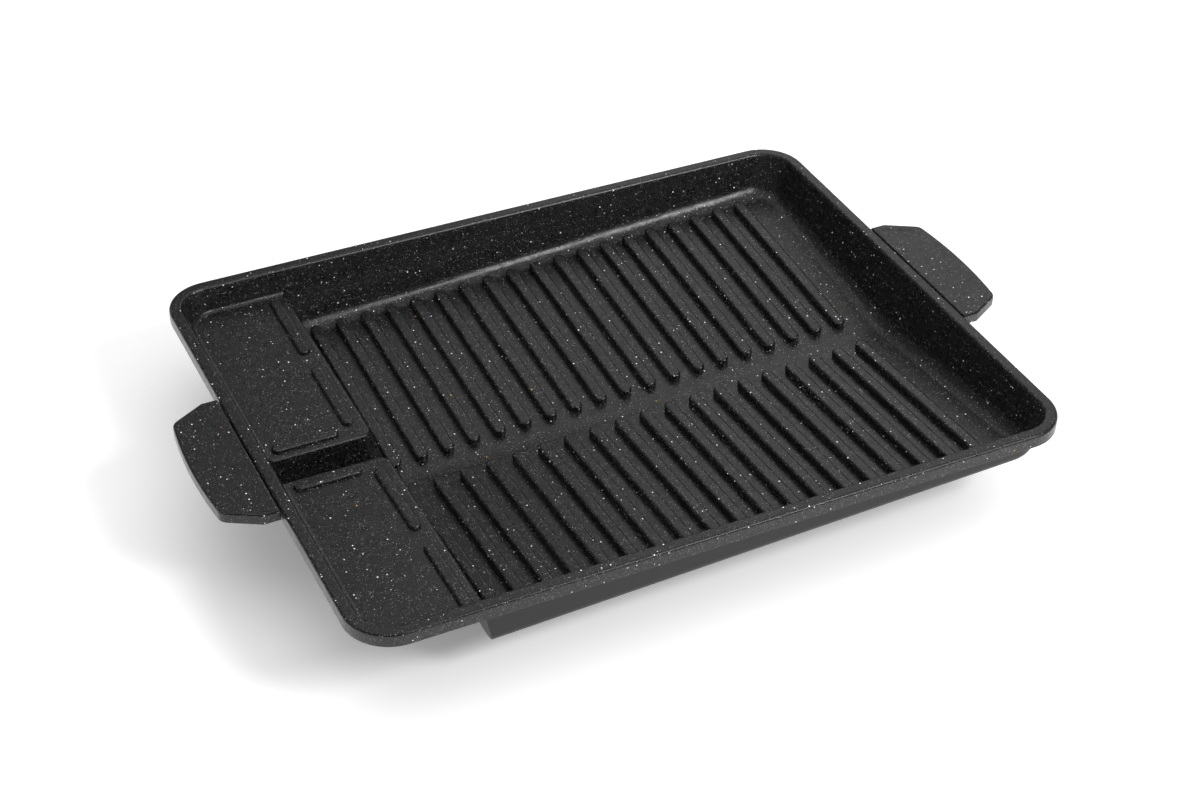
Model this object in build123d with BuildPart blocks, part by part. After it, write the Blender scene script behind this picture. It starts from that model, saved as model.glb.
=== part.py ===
from build123d import *
import math
import os

# Ribbed grill plate for a table stove: one die-cast plate with a two-way sloping floor, two rows of
# ribs, two raised shelves with a drain channel between them, and a screwed-on handle at each end.
# Millimetres. X runs along the plate from the drain end, Y to the back, Z up. The origin is the
# middle of the plate on the plane that its two rails stand on. Depths are measured down from the
# rim's top face.

# Rim
RIM_LENGTH = 340.0
RIM_WIDTH = 265.0
RIM_CORNER = 21.0
RIM_LAND = 6.0
RIM_HEIGHT = 6.5
RIM_OUTER_EDGE = 0.8
RIM_INNER_EDGE = 0.8

# Walls and floor
WALL = 3.0
WALL_DRAFT = 15.5
VALLEY_DEPTH = 36.6
FLOOR_FALL = 2.53
FLOOR_RISE = 4.57
VALLEY_RADIUS = 40.0
COVE = 8.5
BASIN_FOOT_CORNER = 13.0

# Ribs
RIB_PITCH = 13.06
RIB_WIDTH = 6.0
RIB_HEIGHT = 3.6
RIB_ROOT = 1.0
GUTTER_WIDTH = 16.0
RIB_END_GAP = 11.0
FIRST_RIB_GAP = 10.7
LAST_RIB_GAP = 14.0

# Shelves and the drain channel between them
SHELF_LENGTH = 54.0
SHELF_DEPTH = 15.3
SHELF_RISE = 1.4
SHELF_COVE = 2.5
SHELF_CORNER = 5.0
CHANNEL_WIDTH = 16.0
CHANNEL_DRAFT = 5.0

# Bars on the shelves
BAR_WIDTH = 5.6
BAR_HEIGHT = 1.8
BAR_INSET = 4.9
LONG_BAR = 45.0
BAR_SPACING = 11.5
LONG_BAR_START = 17.5
SHORT_BAR = 31.5
SHORT_BAR_INSET = 3.6
SHORT_BAR_SETBACK = 14.2

# Drain
DRAIN_BORE = 9.0
DRAIN_INSET = 23.0
SPOUT_WALL = 2.2
SPOUT_LENGTH = 3.0

# Standing rails under the floor
RAIL_THICKNESS = 4.0
RAIL_LENGTH = 180.0
LEFT_RAIL_INSET = 32.0
RIGHT_RAIL_INSET = 54.0
RAIL_CLEARANCE = 1.5

# Handles
HANDLE_REACH = 26.2
HANDLE_WIDTH = 84.0
HANDLE_TIP_WIDTH = 66.4
HANDLE_SHOULDER = 8.0
HANDLE_BULGE = 2.4
HANDLE_THICKNESS = 5.2
HANDLE_DROP = 0.3
HANDLE_GAP = 0.3
HANDLE_CORNER = 5.0
HANDLE_EDGE = 0.6
DISH_INSET = 3.6
DISH_DEPTH = 0.5
DISH_BEVEL = 60.0

# Handle lugs and screws
LUG_REACH = 15.0
LUG_WIDTH = 62.0
LUG_THICKNESS = 4.0
LUG_CORNER = 5.0
SCREW_SPACING = 44.0
SCREW_OFFSET = 8.5
SCREW_DIAMETER = 4.0
SCREW_FIT = 0.1
SCREW_ENTRY = 3.3
SCREW_TIP_GAP = 0.3
HEAD_DIAMETER = 7.6
HEAD_HEIGHT = 2.6
HEAD_EDGE = 0.6
SOCKET_WIDTH = 2.5
SOCKET_DEPTH = 1.4

# How far a face's normal points along Z on a floor, at least, and on a wall, at most
FLOOR_NORMAL = 0.9
WALL_NORMAL = 0.6

os.makedirs("parts", exist_ok=True)

draft_slope = math.tan(math.radians(WALL_DRAFT))
fall_slope = math.tan(math.radians(FLOOR_FALL))
rise_slope = math.tan(math.radians(FLOOR_RISE))
channel_slope = math.tan(math.radians(CHANNEL_DRAFT))
end_x = RIM_LENGTH / 2
inner_x = end_x - RIM_LAND
inner_y = RIM_WIDTH / 2 - RIM_LAND
inner_corner = RIM_CORNER - RIM_LAND
shelf_edge_x = SHELF_LENGTH - inner_x
basin_start_x = shelf_edge_x - draft_slope * SHELF_DEPTH
channel_half = CHANNEL_WIDTH / 2 + channel_slope * SHELF_DEPTH
form_depth = VALLEY_DEPTH + fall_slope * end_x + 2 * WALL
drain_x = DRAIN_INSET - inner_x
spout_foot = VALLEY_DEPTH - fall_slope * drain_x + WALL + SPOUT_LENGTH
rest_depth = spout_foot + RAIL_CLEARANCE
handle_foot = HANDLE_DROP + HANDLE_THICKNESS
lug_foot = handle_foot + LUG_THICKNESS
rim = Plane.XY.offset(rest_depth)


def space_over(depth, fall, rise):
    """Everything above a floor that falls along X and rises from the valley to both sides."""
    direction = Vector(math.cos(math.radians(fall)), 0, math.sin(math.radians(fall)))
    across = math.tan(math.radians(rise)) * RIM_WIDTH
    with BuildPart() as space:
        with BuildSketch(Plane(origin=(0, 0, rest_depth - depth), x_dir=(0, 1, 0), z_dir=direction)):
            with BuildLine():
                Polyline(
                    (-RIM_WIDTH, across),
                    (0, 0),
                    (RIM_WIDTH, across),
                    (RIM_WIDTH, 2 * RIM_WIDTH),
                    (-RIM_WIDTH, 2 * RIM_WIDTH),
                    close=True,
                )
            make_face()
            valley = vertices().sort_by(Axis.Y)[0]
            fillet(valley, VALLEY_RADIUS)
        extrude(amount=RIM_LENGTH, both=True)
    return space.part


def floor_edges(form, depth):
    """Edges where a form's floors, down to a given depth, meet its walls, in a set order."""
    lowest = rest_depth - depth
    floors = form.faces().filter_by(lambda f: f.normal_at().Z < -FLOOR_NORMAL and f.center().Z > lowest)
    walls = form.faces().filter_by(lambda f: abs(f.normal_at().Z) < WALL_NORMAL)
    shared = floors.edges() & walls.edges()
    return shared.sort_by(lambda e: (round(e.center().X), e.center().Y))


def dish_form(growth):
    """The drafted inside of the rim down to the basin floor, grown by a wall thickness."""
    side_growth = growth / math.cos(math.radians(WALL_DRAFT))
    with BuildPart() as dish:
        for depth, corner in ((0, inner_corner + growth), (form_depth, BASIN_FOOT_CORNER)):
            shift = side_growth - depth * draft_slope
            with BuildSketch(rim.offset(-depth)):
                RectangleRounded(2 * (inner_x + shift), 2 * (inner_y + shift), corner)
        loft(ruled=True)
        add(space_over(VALLEY_DEPTH + growth, FLOOR_FALL, FLOOR_RISE), mode=Mode.INTERSECT)
        fillet(floor_edges(dish, form_depth), COVE + growth)
    return dish.part


def shelf_block(side, growth):
    """What fills the dish under one shelf; it widens downwards on its basin and channel sides."""
    side_growth = growth / math.cos(math.radians(WALL_DRAFT))
    with BuildPart() as block:
        for depth in (0, form_depth):
            edge_x = basin_start_x - side_growth + depth * draft_slope
            edge_y = channel_half + growth - depth * channel_slope
            with BuildSketch(rim.offset(-depth)):
                with BuildLine():
                    Polyline(
                        (-RIM_LENGTH, side * edge_y),
                        (edge_x, side * edge_y),
                        (edge_x, side * RIM_WIDTH),
                        (-RIM_LENGTH, side * RIM_WIDTH),
                        close=True,
                    )
                make_face()
                mouth = vertices().group_by(Axis.X)[-1].sort_by(lambda v: abs(v.Y))[0]
                fillet(mouth, SHELF_CORNER)
        loft(ruled=True)
        add(space_over(SHELF_DEPTH + growth, 0, SHELF_RISE), mode=Mode.SUBTRACT)
    return block.part


def plate_form(growth):
    """The plate's hollow shape, grown outwards by a wall thickness, with a cove round each shelf."""
    with BuildPart() as form:
        add(dish_form(growth))
        add([shelf_block(side, growth) for side in (1, -1)], mode=Mode.SUBTRACT)
        outline = floor_edges(form, SHELF_DEPTH + growth + SHELF_COVE)
        outline = outline.sort_by(lambda e: (round(e.center().X - abs(e.center().Y)), e.center().Y))
        fillet(outline[: len(outline) // 2], SHELF_COVE + growth)
    return form.part


with BuildPart() as hollow:
    add(plate_form(0))
    for growth in (RIM_INNER_EDGE, -RIM_INNER_EDGE):
        with BuildSketch(rim.offset(growth - RIM_INNER_EDGE)):
            RectangleRounded(2 * (inner_x + growth), 2 * (inner_y + growth), inner_corner + growth)
    loft(ruled=True)


def round_ended_bar(plane, middle, turn, length, width, height):
    """A round-ended bar standing on a sloping plane and rooted a little below it."""
    with BuildPart() as bar:
        with BuildSketch(plane.offset(-RIB_ROOT)):
            with Locations(middle):
                SlotOverall(length, width, rotation=turn)
        extrude(amount=height + RIB_ROOT)
    return bar.part


def sloped(depth, fall, rise):
    """Plane of a floor that falls along X and rises along Y from the valley."""
    return Plane(origin=(0, 0, rest_depth - depth), x_dir=(1, 0, fall), z_dir=(-fall, -rise, 1))


def rib_row(side):
    """One row of ribs on the basin floor."""
    first_x = shelf_edge_x + FIRST_RIB_GAP
    last_x = inner_x - draft_slope * VALLEY_DEPTH - LAST_RIB_GAP
    count = int((last_x - first_x) / RIB_PITCH) + 1
    near_y = GUTTER_WIDTH / 2
    far_y = inner_y - RIB_END_GAP
    row = sloped(VALLEY_DEPTH, fall_slope, side * rise_slope)
    middle = (first_x, side * (near_y + far_y) / 2)
    rib = round_ended_bar(row, middle, 90, far_y - near_y, RIB_WIDTH, RIB_HEIGHT)
    return [Pos(*(row.x_dir * (RIB_PITCH * number))) * rib for number in range(count)]


def shelf_bars(side):
    """The bars on one shelf: two in line beside the basin and one beside the channel."""
    shelf = sloped(SHELF_DEPTH, 0, side * math.tan(math.radians(SHELF_RISE)))
    long_x = shelf_edge_x - BAR_INSET - BAR_WIDTH / 2
    near_y = LONG_BAR_START + LONG_BAR / 2
    short_x = shelf_edge_x - SHORT_BAR_SETBACK - SHORT_BAR / 2
    short_y = CHANNEL_WIDTH / 2 + SHORT_BAR_INSET + BAR_WIDTH / 2
    bars = [
        round_ended_bar(shelf, (long_x, side * y), 90, LONG_BAR, BAR_WIDTH, BAR_HEIGHT)
        for y in (near_y, near_y + LONG_BAR + BAR_SPACING)
    ]
    bars.append(round_ended_bar(shelf, (short_x, side * short_y), 0, SHORT_BAR, BAR_WIDTH, BAR_HEIGHT))
    return bars


def lug(side):
    """The cast lug that carries one handle."""
    start = inner_x - WALL
    length = end_x + LUG_REACH - start
    with BuildPart() as part:
        with BuildSketch(rim.offset(-lug_foot)):
            with Locations((side * (start + length / 2), 0)):
                Rectangle(length, LUG_WIDTH)
            fillet(vertices().sort_by(lambda v: side * v.X)[-2:], LUG_CORNER)
        extrude(amount=LUG_THICKNESS)
    return part.part


with BuildPart() as grill_plate:
    with BuildSketch(rim):
        RectangleRounded(RIM_LENGTH, RIM_WIDTH, RIM_CORNER)
    extrude(amount=-RIM_HEIGHT)
    chamfer(grill_plate.faces().sort_by(Axis.Z)[-1].edges(), RIM_OUTER_EDGE)
    add(plate_form(WALL))
    add([lug(1), lug(-1)])
    with BuildSketch():
        with Locations((shelf_edge_x + LEFT_RAIL_INSET, 0), (inner_x - RIGHT_RAIL_INSET, 0)):
            SlotOverall(RAIL_LENGTH, RAIL_THICKNESS, rotation=90)
    extrude(amount=rest_depth - SHELF_DEPTH)
    with BuildSketch(rim.offset(-spout_foot)):
        with Locations((drain_x, 0)):
            Circle(DRAIN_BORE / 2 + SPOUT_WALL)
    extrude(amount=SPOUT_LENGTH + WALL)
    add(hollow, mode=Mode.SUBTRACT)
    add([*rib_row(1), *rib_row(-1), *shelf_bars(1), *shelf_bars(-1)])
    with Locations((drain_x, 0, rest_depth)):
        Hole(DRAIN_BORE / 2)
    with Locations((0, 0, rest_depth - handle_foot)):
        with GridLocations(2 * (end_x + SCREW_OFFSET), SCREW_SPACING, 2, 2):
            Hole(SCREW_DIAMETER / 2 + SCREW_FIT, LUG_THICKNESS)
    grill_plate.part.label = "grill_plate"


def handle_plan(side, inset):
    """Plan of a handle: straight at the rim, shouldered, with a gently bowed grip edge."""
    root_x = side * (end_x + HANDLE_GAP)
    shoulder_x = side * (end_x + HANDLE_SHOULDER)
    tip_x = side * (end_x + HANDLE_REACH - HANDLE_BULGE)
    with BuildSketch() as plan:
        with BuildLine():
            Polyline(
                (tip_x, -HANDLE_TIP_WIDTH / 2),
                (shoulder_x, -HANDLE_WIDTH / 2),
                (root_x, -HANDLE_WIDTH / 2),
                (root_x, HANDLE_WIDTH / 2),
                (shoulder_x, HANDLE_WIDTH / 2),
                (tip_x, HANDLE_TIP_WIDTH / 2),
            )
            ThreePointArc(
                (tip_x, HANDLE_TIP_WIDTH / 2),
                (side * (end_x + HANDLE_REACH), 0),
                (tip_x, -HANDLE_TIP_WIDTH / 2),
            )
        make_face()
        tips = vertices().sort_by(lambda v: side * v.X)[-2:]
        fillet(tips, HANDLE_CORNER)
        if inset:
            offset(amount=-inset, mode=Mode.REPLACE)
    return plan.sketch


def handle(side):
    """A flat grip with a dished top and two blind screw holes from below."""
    with BuildPart() as part:
        with BuildSketch(rim.offset(-handle_foot)):
            add(handle_plan(side, 0))
        extrude(amount=HANDLE_THICKNESS)
        top = part.faces().sort_by(Axis.Z)[-1]
        chamfer(top.edges(), HANDLE_EDGE)
        with BuildSketch(rim.offset(-HANDLE_DROP)):
            add(handle_plan(side, DISH_INSET))
        extrude(amount=-DISH_DEPTH, taper=DISH_BEVEL, mode=Mode.SUBTRACT)
        with BuildSketch(rim.offset(-handle_foot)):
            with Locations((side * (end_x + SCREW_OFFSET), 0)):
                with GridLocations(0, SCREW_SPACING, 1, 2):
                    Circle(SCREW_DIAMETER / 2 + SCREW_FIT)
        extrude(amount=SCREW_ENTRY + SCREW_TIP_GAP, mode=Mode.SUBTRACT)
    return part.part


def screw_pair(side):
    """The two socket screws that hold one handle from below."""
    up = (Align.CENTER, Align.CENTER, Align.MIN)
    down = (Align.CENTER, Align.CENTER, Align.MAX)
    with BuildPart() as part:
        with Locations((side * (end_x + SCREW_OFFSET), 0, rest_depth - lug_foot)):
            with GridLocations(0, SCREW_SPACING, 1, 2):
                Cylinder(SCREW_DIAMETER / 2, LUG_THICKNESS + SCREW_ENTRY, align=up)
                Cylinder(HEAD_DIAMETER / 2, HEAD_HEIGHT, align=down)
        heads = part.faces().filter_by(Axis.Z).group_by(Axis.Z)[0]
        chamfer(heads.edges(), HEAD_EDGE)
        with BuildSketch(rim.offset(-lug_foot - HEAD_HEIGHT)):
            with Locations((side * (end_x + SCREW_OFFSET), 0)):
                with GridLocations(0, SCREW_SPACING, 1, 2):
                    RegularPolygon(SOCKET_WIDTH / 2, 6, major_radius=False)
        extrude(amount=SOCKET_DEPTH, mode=Mode.SUBTRACT)
    return part.part


with BuildPart() as right_handle:
    add(handle(1))
    right_handle.part.label = "right_handle"
with BuildPart() as left_handle:
    add(handle(-1))
    left_handle.part.label = "left_handle"
with BuildPart() as right_handle_screws:
    add(screw_pair(1))
    right_handle_screws.part.label = "right_handle_screws"
with BuildPart() as left_handle_screws:
    add(screw_pair(-1))
    left_handle_screws.part.label = "left_handle_screws"

for piece in (grill_plate, left_handle, right_handle, left_handle_screws, right_handle_screws):
    export_step(piece.part, f"parts/{piece.part.label}.step")
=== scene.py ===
import logging
import math
from dataclasses import dataclass
from enum import Enum

import bmesh
import bpy
import numpy as np
from mathutils import Matrix, Vector


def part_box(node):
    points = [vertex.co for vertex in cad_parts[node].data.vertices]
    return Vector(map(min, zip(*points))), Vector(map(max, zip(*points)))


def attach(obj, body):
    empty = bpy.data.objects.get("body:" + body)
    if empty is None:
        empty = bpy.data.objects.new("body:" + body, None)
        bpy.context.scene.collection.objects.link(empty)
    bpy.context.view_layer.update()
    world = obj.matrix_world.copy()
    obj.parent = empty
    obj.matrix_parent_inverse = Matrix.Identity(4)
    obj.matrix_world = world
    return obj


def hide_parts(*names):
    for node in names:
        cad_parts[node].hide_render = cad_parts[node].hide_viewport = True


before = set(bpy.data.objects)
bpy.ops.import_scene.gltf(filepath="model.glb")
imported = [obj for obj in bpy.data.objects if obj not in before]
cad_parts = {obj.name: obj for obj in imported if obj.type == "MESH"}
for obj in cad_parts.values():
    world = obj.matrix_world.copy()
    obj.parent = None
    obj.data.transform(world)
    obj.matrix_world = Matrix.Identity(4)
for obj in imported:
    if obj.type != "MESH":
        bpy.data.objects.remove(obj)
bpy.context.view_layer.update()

MM = 0.001
WHITE = (1.0, 1.0, 1.0, 1.0)

# A Mix node repeats its socket names for each kind of value, so its colours go by number
COLOUR_A = 6
COLOUR_B = 7
MIXED_COLOUR = 2

log = logging.getLogger("grill_plate")


def linear(hex_colour: str) -> tuple[float, float, float, float]:
    """Turns an sRGB hex colour into linear light.

    Each channel is divided by 12.92 near black, and follows the sRGB power curve above that.

    Args:
        hex_colour: six hex digits, with or without a leading hash.

    Returns:
        Red, green and blue in linear light, and an opacity of one.
    """
    digits = hex_colour.lstrip("#")
    channels = [int(digits[i:i + 2], 16) / 255 for i in (0, 2, 4)]
    red, green, blue = (c / 12.92 if c <= 0.04045 else ((c + 0.055) / 1.055) ** 2.4 for c in channels)
    return red, green, blue, 1.0


def empty_tree(owner: bpy.types.Material | bpy.types.World) -> bpy.types.NodeTree:
    """Turns on the nodes of a material or a world and removes the ones that it starts with.

    Args:
        owner: the material or world.

    Returns:
        Its node tree, empty.
    """
    owner.use_nodes = True
    owner.node_tree.nodes.clear()
    return owner.node_tree


def add_node(tree: bpy.types.NodeTree, kind: str, links: dict | None = None, values: dict | None = None,
             **settings: object) -> bpy.types.Node:
    """Adds one shader node with its settings, socket values and incoming links.

    Args:
        tree: the node tree that receives the node.
        kind: Blender's node type name.
        links: input socket name or index to the output socket that feeds it.
        values: input socket name or index to a constant value.
        settings: attributes of the node itself.

    Returns:
        The new node.
    """
    node = tree.nodes.new(kind)
    for name, value in settings.items():
        setattr(node, name, value)
    for key, value in (values or {}).items():
        node.inputs[key].default_value = value
    for key, socket in (links or {}).items():
        tree.links.new(socket, node.inputs[key])
    return node


@dataclass(frozen=True)
class Specks:
    """One population of flakes thrown into a sprayed coat.

    Each flake sits in its own cell of a Voronoi pattern, and a share of the cells hold one. The
    smallest radius and the soft edge are shares of the largest radius.
    """

    colour: str
    cell_mm: float
    radius_mm: float
    share: float
    strength: float
    offset_mm: float
    smallest: float = 0.45
    softness: float = 0.25
    scatter: float = 0.9

    def mask(self, tree: bpy.types.NodeTree, place: bpy.types.NodeSocket) -> bpy.types.NodeSocket:
        """Builds the flakes' mask.

        The mask rises to the flakes' strength where the distance to the flake's centre is under its
        radius. One random value of the cell says whether it holds a flake, and a second one sets the
        radius.

        Args:
            tree: the material's nodes.
            place: object coordinates in metres.

        Returns:
            A socket that is the strength on a flake and 0 off it.
        """
        moved = add_node(tree, "ShaderNodeVectorMath", {0: place}, {1: (self.offset_mm * MM,) * 3},
                         operation="ADD")
        cells = add_node(tree, "ShaderNodeTexVoronoi", {"Vector": moved.outputs[0]},
                         {"Scale": 1 / (self.cell_mm * MM), "Randomness": self.scatter})
        chance = add_node(tree, "ShaderNodeSeparateColor", {0: cells.outputs["Color"]})
        present = add_node(tree, "ShaderNodeMath", {0: chance.outputs[0]}, {1: self.share},
                           operation="LESS_THAN")
        largest = self.radius_mm / self.cell_mm
        reach = add_node(tree, "ShaderNodeMapRange", {"Value": chance.outputs[1]},
                         {"To Min": self.smallest * largest, "To Max": largest})
        inside = add_node(tree, "ShaderNodeMath", {0: reach.outputs[0], 1: cells.outputs["Distance"]},
                          operation="SUBTRACT")
        edge = add_node(tree, "ShaderNodeMapRange", {"Value": inside.outputs[0]},
                        {"From Max": self.softness * largest, "To Max": self.strength})
        kept = add_node(tree, "ShaderNodeMath", {0: edge.outputs[0], 1: present.outputs[0]},
                        operation="MULTIPLY")
        return kept.outputs[0]


@dataclass(frozen=True)
class StoneCoat:
    """Stone-effect non-stick coat: a sprayed and baked black fluoropolymer with mineral flakes.

    To the eye it is near black with a soft grey bloom where it mirrors the studio, a fine grey grain,
    and a sparse scatter of white and tan flakes that stand a hair proud of the film. The grain is
    drawn about as wide as one pixel of the picture, because a finer one wouldn't show.
    """

    name: str
    film: str = "#070707"
    grain: str = "#6a6a6b"
    grain_mm: float = 0.45
    grain_detail: float = 2.0
    grain_harshness: float = 0.7
    grain_band: tuple[float, float] = (0.57, 0.66)
    grain_cover: float = 0.6
    roughness: float = 0.3
    glossiest: float = -0.05
    dullest: float = 0.06
    waves_per_metre: float = 220.0
    wave_detail: float = 3.0
    wave_band: tuple[float, float] = (0.3, 0.7)
    relief_strength: float = 0.45
    relief_mm: float = 0.04
    ior: float = 1.45
    flakes: tuple[Specks, ...] = (
        Specks("#a4a4a5", 0.95, 0.24, 0.55, 0.85, 0.0),
        Specks("#fbfbf8", 2.1, 0.42, 0.2, 1.0, 37.0),
        Specks("#d2a04c", 4.0, 0.5, 0.03, 1.0, 71.0),
    )

    def material(self) -> bpy.types.Material:
        """Builds the coat's material on object coordinates.

        Returns:
            The material.
        """
        made = bpy.data.materials.new(self.name)
        tree = empty_tree(made)
        place = add_node(tree, "ShaderNodeTexCoord").outputs["Object"]
        grain = add_node(tree, "ShaderNodeTexNoise", {"Vector": place},
                         {"Scale": 1 / (self.grain_mm * MM), "Detail": self.grain_detail,
                          "Roughness": self.grain_harshness})
        grain_share = add_node(tree, "ShaderNodeMapRange", {"Value": grain.outputs[0]},
                               {"From Min": self.grain_band[0], "From Max": self.grain_band[1],
                                "To Max": self.grain_cover})
        colour = add_node(tree, "ShaderNodeMix", {"Factor": grain_share.outputs[0]},
                          {COLOUR_A: linear(self.film), COLOUR_B: linear(self.grain)}, data_type="RGBA")
        paint = colour.outputs[MIXED_COLOUR]
        height = grain_share.outputs[0]
        for flake in self.flakes:
            mask = flake.mask(tree, place)
            mixed = add_node(tree, "ShaderNodeMix", {"Factor": mask, COLOUR_A: paint},
                             {COLOUR_B: linear(flake.colour)}, data_type="RGBA")
            paint = mixed.outputs[MIXED_COLOUR]
            height = add_node(tree, "ShaderNodeMath", {0: height, 1: mask}, operation="ADD").outputs[0]
        wave = add_node(tree, "ShaderNodeTexNoise", {"Vector": place},
                        {"Scale": self.waves_per_metre, "Detail": self.wave_detail})
        rough = add_node(tree, "ShaderNodeMapRange", {"Value": wave.outputs[0]},
                         {"From Min": self.wave_band[0], "From Max": self.wave_band[1],
                          "To Min": self.roughness + self.glossiest,
                          "To Max": self.roughness + self.dullest})
        relief = add_node(tree, "ShaderNodeMath", {0: height, 1: grain.outputs[0]}, operation="ADD")
        bump = add_node(tree, "ShaderNodeBump", {"Height": relief.outputs[0]},
                        {"Strength": self.relief_strength, "Distance": self.relief_mm * MM})
        shader = add_node(tree, "ShaderNodeBsdfPrincipled",
                          {"Base Color": paint, "Roughness": rough.outputs[0], "Normal": bump.outputs[0]},
                          {"IOR": self.ior})
        add_node(tree, "ShaderNodeOutputMaterial", {"Surface": shader.outputs[0]})
        return made


@dataclass(frozen=True)
class BlackPaint:
    """Heat-proof black paint of the underside: sprayed thin, plain and matt, with a faint orange peel
    that has painted shade in its hollows and a painted highlight on its crests.
    """

    name: str = "matt_black_underside_paint"
    # The two colours are painted shade in the orange peel's hollows and a painted highlight on its
    # crests.
    peel_hollow_shade: str = "#0e0e0e"
    peel_crest_highlight: str = "#161616"
    peels_per_metre: float = 700.0
    peel_detail: float = 2.0
    roughness: float = 0.55
    spread: float = 0.06
    relief_strength: float = 0.15
    relief_mm: float = 0.04
    ior: float = 1.35

    def material(self) -> bpy.types.Material:
        """Builds the paint's material on object coordinates.

        Returns:
            The material.
        """
        made = bpy.data.materials.new(self.name)
        tree = empty_tree(made)
        place = add_node(tree, "ShaderNodeTexCoord").outputs["Object"]
        peel = add_node(tree, "ShaderNodeTexNoise", {"Vector": place},
                        {"Scale": self.peels_per_metre, "Detail": self.peel_detail})
        rough = add_node(tree, "ShaderNodeMapRange", {"Value": peel.outputs[0]},
                         {"To Min": self.roughness - self.spread, "To Max": self.roughness + self.spread})
        # Painted shade and highlight: the colour darkens in the peel's hollows and lightens on its
        # crests, following the bump's own height.
        colour = add_node(tree, "ShaderNodeMix", {"Factor": peel.outputs[0]},
                          {COLOUR_A: linear(self.peel_hollow_shade), COLOUR_B: linear(self.peel_crest_highlight)}, data_type="RGBA")
        bump = add_node(tree, "ShaderNodeBump", {"Height": peel.outputs[0]},
                        {"Strength": self.relief_strength, "Distance": self.relief_mm * MM})
        shader = add_node(tree, "ShaderNodeBsdfPrincipled",
                          {"Base Color": colour.outputs[MIXED_COLOUR], "Roughness": rough.outputs[0],
                           "Normal": bump.outputs[0]}, {"IOR": self.ior})
        add_node(tree, "ShaderNodeOutputMaterial", {"Surface": shader.outputs[0]})
        return made


@dataclass(frozen=True)
class ScrewSteel:
    """Zinc-plated socket-head screw: turned steel, evenly grey with a faint turned grain."""

    name: str = "zinc_plated_screw_steel"
    colour: str = "#8f9193"
    grains_per_metre: float = 1800.0
    grain_detail: float = 2.0
    roughness: float = 0.34
    spread: float = 0.08

    def material(self) -> bpy.types.Material:
        """Builds the screws' material on object coordinates.

        Returns:
            The material.
        """
        made = bpy.data.materials.new(self.name)
        tree = empty_tree(made)
        place = add_node(tree, "ShaderNodeTexCoord").outputs["Object"]
        grain = add_node(tree, "ShaderNodeTexNoise", {"Vector": place},
                         {"Scale": self.grains_per_metre, "Detail": self.grain_detail})
        rough = add_node(tree, "ShaderNodeMapRange", {"Value": grain.outputs[0]},
                         {"To Min": self.roughness - self.spread, "To Max": self.roughness + self.spread})
        shader = add_node(tree, "ShaderNodeBsdfPrincipled", {"Roughness": rough.outputs[0]},
                          {"Base Color": linear(self.colour), "Metallic": 1.0})
        add_node(tree, "ShaderNodeOutputMaterial", {"Surface": shader.outputs[0]})
        return made


@dataclass(frozen=True)
class WhitePaper:
    """Matt white paper of the floor, full white to the camera and a little greyer as a bounce.

    A weak glow that only the camera sees lightens the shadow on it, and a stronger one is what the
    glossy coat mirrors.
    """

    name: str = "white_paper"
    bounce: str = "#dedede"
    seen_glow: float = 0.17
    mirrored_glow: float = 0.7

    def material(self) -> bpy.types.Material:
        """Builds the paper's material.

        Returns:
            The material.
        """
        made = bpy.data.materials.new(self.name)
        tree = empty_tree(made)
        path = add_node(tree, "ShaderNodeLightPath")
        tone = add_node(tree, "ShaderNodeMix", {"Factor": path.outputs["Is Camera Ray"]},
                        {COLOUR_A: linear(self.bounce), COLOUR_B: WHITE}, data_type="RGBA")
        diffuse = add_node(tree, "ShaderNodeBsdfDiffuse", {"Color": tone.outputs[MIXED_COLOUR]})
        seen = add_node(tree, "ShaderNodeMapRange", {"Value": path.outputs["Is Camera Ray"]},
                        {"To Max": self.seen_glow})
        strength = add_node(tree, "ShaderNodeMapRange",
                            {"Value": path.outputs["Is Glossy Ray"], "To Min": seen.outputs[0]},
                            {"To Max": self.mirrored_glow})
        glow = add_node(tree, "ShaderNodeEmission", {"Strength": strength.outputs[0]})
        both = add_node(tree, "ShaderNodeAddShader", {0: diffuse.outputs[0], 1: glow.outputs[0]})
        add_node(tree, "ShaderNodeOutputMaterial", {"Surface": both.outputs[0]})
        return made


class Finish(Enum):
    """The finishes of one casting, in the order of its material slots."""

    COOKING_SIDE = 0
    UNDERSIDE = 1


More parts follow.
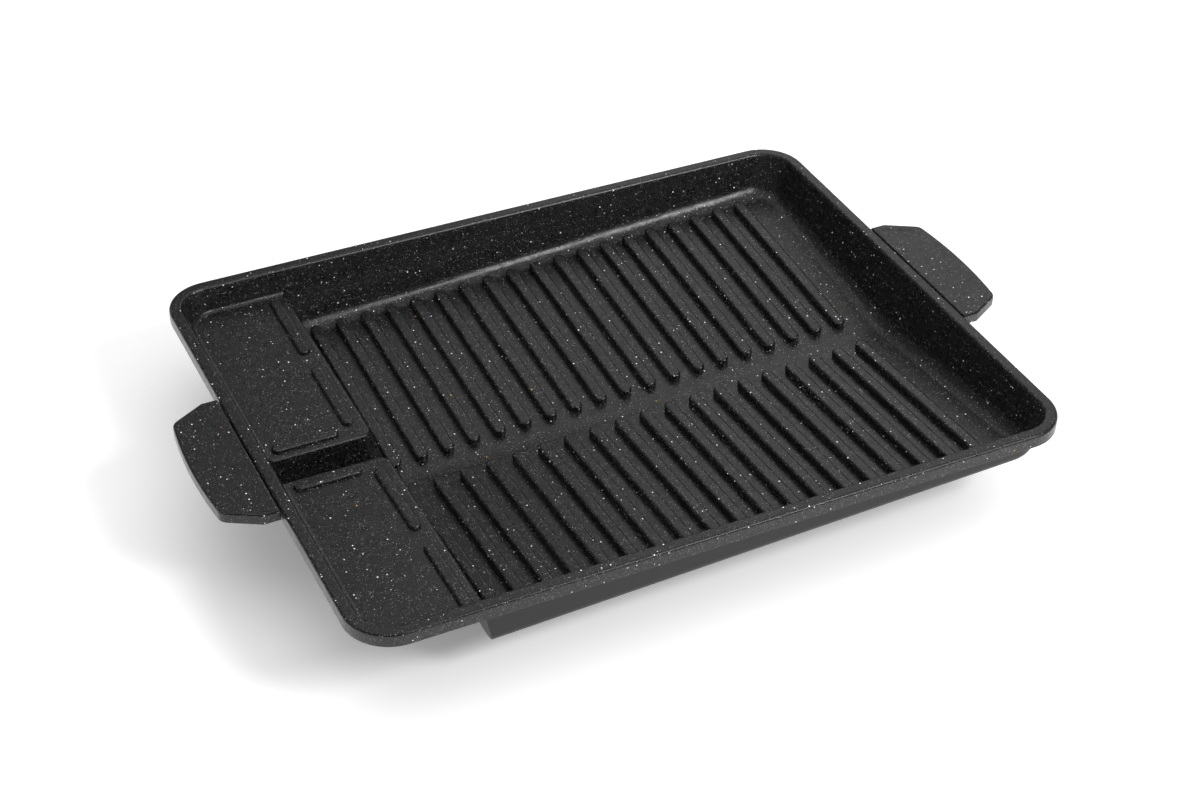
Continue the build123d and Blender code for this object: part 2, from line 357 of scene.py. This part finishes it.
@dataclass
class RoundedCasting:
    """A cast piece with its sharp outward edges rounded, as the die and the sprayed coat leave them.

    The first five sizes are how far each rounding reaches from its edge. The places that tell one
    kind of edge from another are in the plate's own frame, and the depths are measured down from the
    rim. Both are in millimetres, and angles are in degrees. A normal is the upward part of a face's
    direction.
    """

    node: str
    slot: str
    lip: float = 1.5
    rib: float = 1.3
    bar: float = 1.3
    rim: float = 0.5
    other: float = 0.3
    shelf_end_x: float = -108.5
    lip_band: tuple[float, float] = (-111.5, 10.5)
    rim_depth: float = 1.5
    shelf_depth: float = 12.0
    inside_x: float = 164.0
    sharp_angle: float = 32.0
    level_normal: float = 0.9
    under_normal: float = -0.15
    under_height: float = 6.5
    same_point: float = 0.002
    flat_angle: float = 0.6
    rings: int = 3

    def merged_copy(self) -> bmesh.types.BMesh:
        """Copies the node's mesh, joins its loose triangles and melts the flat ones together.

        Returns:
            The joined mesh.
        """
        joined = bmesh.new()
        joined.from_mesh(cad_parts[self.node].data)
        bmesh.ops.remove_doubles(joined, verts=joined.verts, dist=self.same_point * MM)
        bmesh.ops.dissolve_limit(joined, angle_limit=math.radians(self.flat_angle), verts=joined.verts,
                                 edges=joined.edges)
        return joined

    def widths(self, joined: bmesh.types.BMesh) -> np.ndarray:
        """Finds how wide each edge's rounding is if the edge is a sharp outward one.

        The top edge of a rib or a bar lies beside a level face inside the rim. Low on the shelves, and
        beside the drop to the basin or the channel, such an edge is a lip. An edge at the rim's height
        takes the rim's rounding, and any other edge the smallest one.

        Args:
            joined: the joined mesh.

        Returns:
            One width in millimetres for each edge.
        """
        level = np.array([max(face.normal.z for face in edge.link_faces) > self.level_normal
                          for edge in joined.edges])
        middle = np.array([(edge.verts[0].co + edge.verts[1].co) / 2 for edge in joined.edges]) / MM
        across = np.abs(middle[:, 1])
        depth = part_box("grill_plate")[1].z / MM - middle[:, 2]
        on_shelves = middle[:, 0] < self.shelf_end_x
        inside = np.abs(middle[:, 0]) < self.inside_x
        beside_drop = (middle[:, 0] > self.lip_band[0]) | (across < self.lip_band[1])
        lip = on_shelves & (depth > self.shelf_depth) & beside_drop
        width = np.where(on_shelves, self.bar, self.rib)
        width = np.where(lip, self.lip, width)
        width = np.where(level & inside, width, self.other)
        return np.where(depth < self.rim_depth, self.rim, width)

    def lay_finishes(self, mesh: bpy.types.Mesh, finishes: dict[Finish, bpy.types.Material]) -> None:
        """Paints the faces that look down or lie near the table, and coats the rest.

        Args:
            mesh: the joined mesh.
            finishes: the material of each finish.
        """
        count = len(mesh.polygons)
        normal = np.empty(count * 3, np.float32)
        centre = np.empty(count * 3, np.float32)
        mesh.polygons.foreach_get("normal", normal)
        mesh.polygons.foreach_get("center", centre)
        under = (normal[2::3] < self.under_normal) | (centre[2::3] < self.under_height * MM)
        slots = np.where(under, Finish.UNDERSIDE.value, Finish.COOKING_SIDE.value).astype(np.int32)
        for finish in Finish:
            mesh.materials.append(finishes[finish])
        mesh.polygons.foreach_set("material_index", slots)
        mesh.polygons.foreach_set("use_smooth", np.ones(count, bool))

    def add_rounding(self, piece: bpy.types.Object) -> None:
        """Rounds the weighted edges and evens the shading, so that flat faces stay flat.

        Args:
            piece: the object of the joined mesh.
        """
        rounding = piece.modifiers.new("rounding", "BEVEL")
        rounding.width = self.lip * MM
        rounding.segments = self.rings
        rounding.limit_method = "WEIGHT"
        rounding.use_clamp_overlap = False
        evening = piece.modifiers.new("flat_faces_stay_flat", "WEIGHTED_NORMAL")
        evening.keep_sharp = True

    def build(self, finishes: dict[Finish, bpy.types.Material]) -> bpy.types.Object:
        """Makes the rounded piece, gives it its finishes and lets it stand for the CAD node.

        An edge's weight is its width as a share of the widest, the lip's. Inward creases stay sharp.

        Args:
            finishes: the material of each finish.

        Returns:
            The new object.
        """
        joined = self.merged_copy()
        turn = np.degrees([edge.calc_face_angle_signed(0.0) for edge in joined.edges])
        width = np.where(turn > self.sharp_angle, self.widths(joined), 0.0)
        mesh = bpy.data.meshes.new(f"{self.node}_rounded")
        joined.to_mesh(mesh)
        joined.free()
        weights = mesh.attributes.new("bevel_weight_edge", "FLOAT", "EDGE")
        weights.data.foreach_set("value", (width / self.lip).astype(np.float32))
        self.lay_finishes(mesh, finishes)
        creases = mesh.attributes.new("sharp_edge", "BOOLEAN", "EDGE")
        creases.data.foreach_set("value", turn < -self.sharp_angle)
        piece = bpy.data.objects.new(mesh.name, mesh)
        bpy.context.scene.collection.objects.link(piece)
        self.add_rounding(piece)
        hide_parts(self.node)
        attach(piece, "root")
        log.info("%s: %d edges rounded", piece.name, int(np.count_nonzero(width)))
        return piece


@dataclass(frozen=True)
class HandleScrews:
    """The two screws under one handle, which keep their CAD shape."""

    node: str

    def dress(self, steel: bpy.types.Material) -> None:
        """Gives the screws their finish.

        Args:
            steel: the screws' material.
        """
        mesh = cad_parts[self.node].data
        mesh.materials.clear()
        mesh.materials.append(steel)
        log.info("%s: dressed", self.node)


@dataclass(frozen=True)
class Softbox:
    """A square soft box that faces the plate, with its place and side in metres, its power in watts."""

    name: str
    place: tuple[float, float, float]
    side: float
    power: float

    def add(self) -> None:
        """Hangs the lamp at its place and turns it to the middle of the floor."""
        data = bpy.data.lights.new(self.name, "AREA")
        data.size = self.side
        data.energy = self.power
        lamp = bpy.data.objects.new(self.name, data)
        lamp.location = self.place
        lamp.rotation_euler = (-Vector(self.place)).to_track_quat("-Z", "Y").to_euler()
        bpy.context.scene.collection.objects.link(lamp)


@dataclass
class Studio:
    """White floor, soft lights and the camera of a plain product picture.

    Angles are in degrees. The camera's distance and target are in millimetres, its lens and sensor
    too, and the clip distances and the floor are in metres. The surround has one strength as a light
    and a lower one in the coat's gloss, as dim as the walls of a studio.
    """

    rim_height: float
    azimuth: float = -27.0857
    elevation: float = 37.6088
    roll: float = 1.6489
    distance_mm: float = 974.523
    target_mm: tuple[float, float] = (-15.7255, -29.4524)
    lens: float = 65.4
    sensor: float = 36.0
    clip: tuple[float, float] = (0.01, 50.0)
    floor_reach: float = 6.0
    ambient: float = 0.55
    mirrored: float = 0.2
    softboxes: tuple[Softbox, ...] = (
        Softbox("overhead_softbox", (0.1, 0.15, 1.8), 2.6, 14.0),
        Softbox("front_right_softbox", (0.66, -1.0, 1.05), 0.45, 14.0),
        Softbox("back_softbox", (0.9, 1.2, 1.1), 0.9, 2.4),
    )

    def add_camera(self) -> None:
        """Places the camera on a sphere round the target and rolls it about its own axis.

        The camera's back axis points from the target along the azimuth and elevation. Right and up
        follow from it, turned by the roll.
        """
        azimuth, elevation, roll = (math.radians(a) for a in (self.azimuth, self.elevation, self.roll))
        back = Vector((math.sin(azimuth) * math.cos(elevation), -math.cos(azimuth) * math.cos(elevation),
                       math.sin(elevation)))
        right = (-back).cross(Vector((0, 0, 1))).normalized()
        up = right.cross(-back)
        turned_right = right * math.cos(roll) + up * math.sin(roll)
        turned_up = up * math.cos(roll) - right * math.sin(roll)
        target = Vector((self.target_mm[0] * MM, self.target_mm[1] * MM, self.rim_height))
        place = target + back * self.distance_mm * MM
        data = bpy.data.cameras.new("camera")
        data.lens = self.lens
        data.sensor_width = self.sensor
        data.clip_start, data.clip_end = self.clip
        camera = bpy.data.objects.new("camera", data)
        columns = (turned_right, turned_up, back, place)
        rows = [[column[axis] for column in columns] for axis in range(3)]
        camera.matrix_world = Matrix([*rows, [0, 0, 0, 1]])
        bpy.context.scene.collection.objects.link(camera)
        bpy.context.scene.camera = camera

    def add_floor(self) -> None:
        """Adds the square of white paper that the plate stands on."""
        reach = self.floor_reach
        corners = [(-reach, -reach, 0), (reach, -reach, 0), (reach, reach, 0), (-reach, reach, 0)]
        mesh = bpy.data.meshes.new("floor")
        mesh.from_pydata(corners, [], [(0, 1, 2, 3)])
        mesh.materials.append(WhitePaper().material())
        floor = bpy.data.objects.new("floor", mesh)
        bpy.context.scene.collection.objects.link(floor)

    def add_world(self) -> None:
        """Lights the scene with an even white surround, seen at full white behind the plate."""
        world = bpy.data.worlds.new("surround")
        bpy.context.scene.world = world
        tree = empty_tree(world)
        path = add_node(tree, "ShaderNodeLightPath")
        dimmed = add_node(tree, "ShaderNodeMapRange", {"Value": path.outputs["Is Glossy Ray"]},
                          {"To Min": self.ambient, "To Max": self.mirrored})
        seen = add_node(tree, "ShaderNodeMath",
                        {0: path.outputs["Is Camera Ray"], 1: path.outputs["Is Transmission Ray"]},
                        operation="MAXIMUM")
        strength = add_node(tree, "ShaderNodeMapRange",
                            {"Value": seen.outputs[0], "To Min": dimmed.outputs[0]})
        background = add_node(tree, "ShaderNodeBackground", {"Strength": strength.outputs[0]},
                              {"Color": WHITE})
        add_node(tree, "ShaderNodeOutputWorld", {"Surface": background.outputs[0]})

    def build(self) -> None:
        """Sets up the whole studio."""
        bpy.context.scene.view_settings.view_transform = "Standard"
        self.add_world()
        self.add_floor()
        for softbox in self.softboxes:
            softbox.add()
        self.add_camera()


def main() -> None:
    """Builds the studio, the plate, the handles and the screws, in that order."""
    logging.basicConfig(level=logging.INFO, format="%(message)s")
    Studio(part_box("grill_plate")[1].z).build()
    coat = StoneCoat("stone_effect_nonstick").material()
    finishes = {Finish.COOKING_SIDE: coat, Finish.UNDERSIDE: BlackPaint().material()}
    RoundedCasting("grill_plate", "plate_coating").build(finishes)
    for node in ("left_handle", "right_handle"):
        RoundedCasting(node, "handle_coating").build(finishes)
    steel = ScrewSteel().material()
    for node in ("left_handle_screws", "right_handle_screws"):
        HandleScrews(node).dress(steel)


if __name__ == "__main__":
    main()
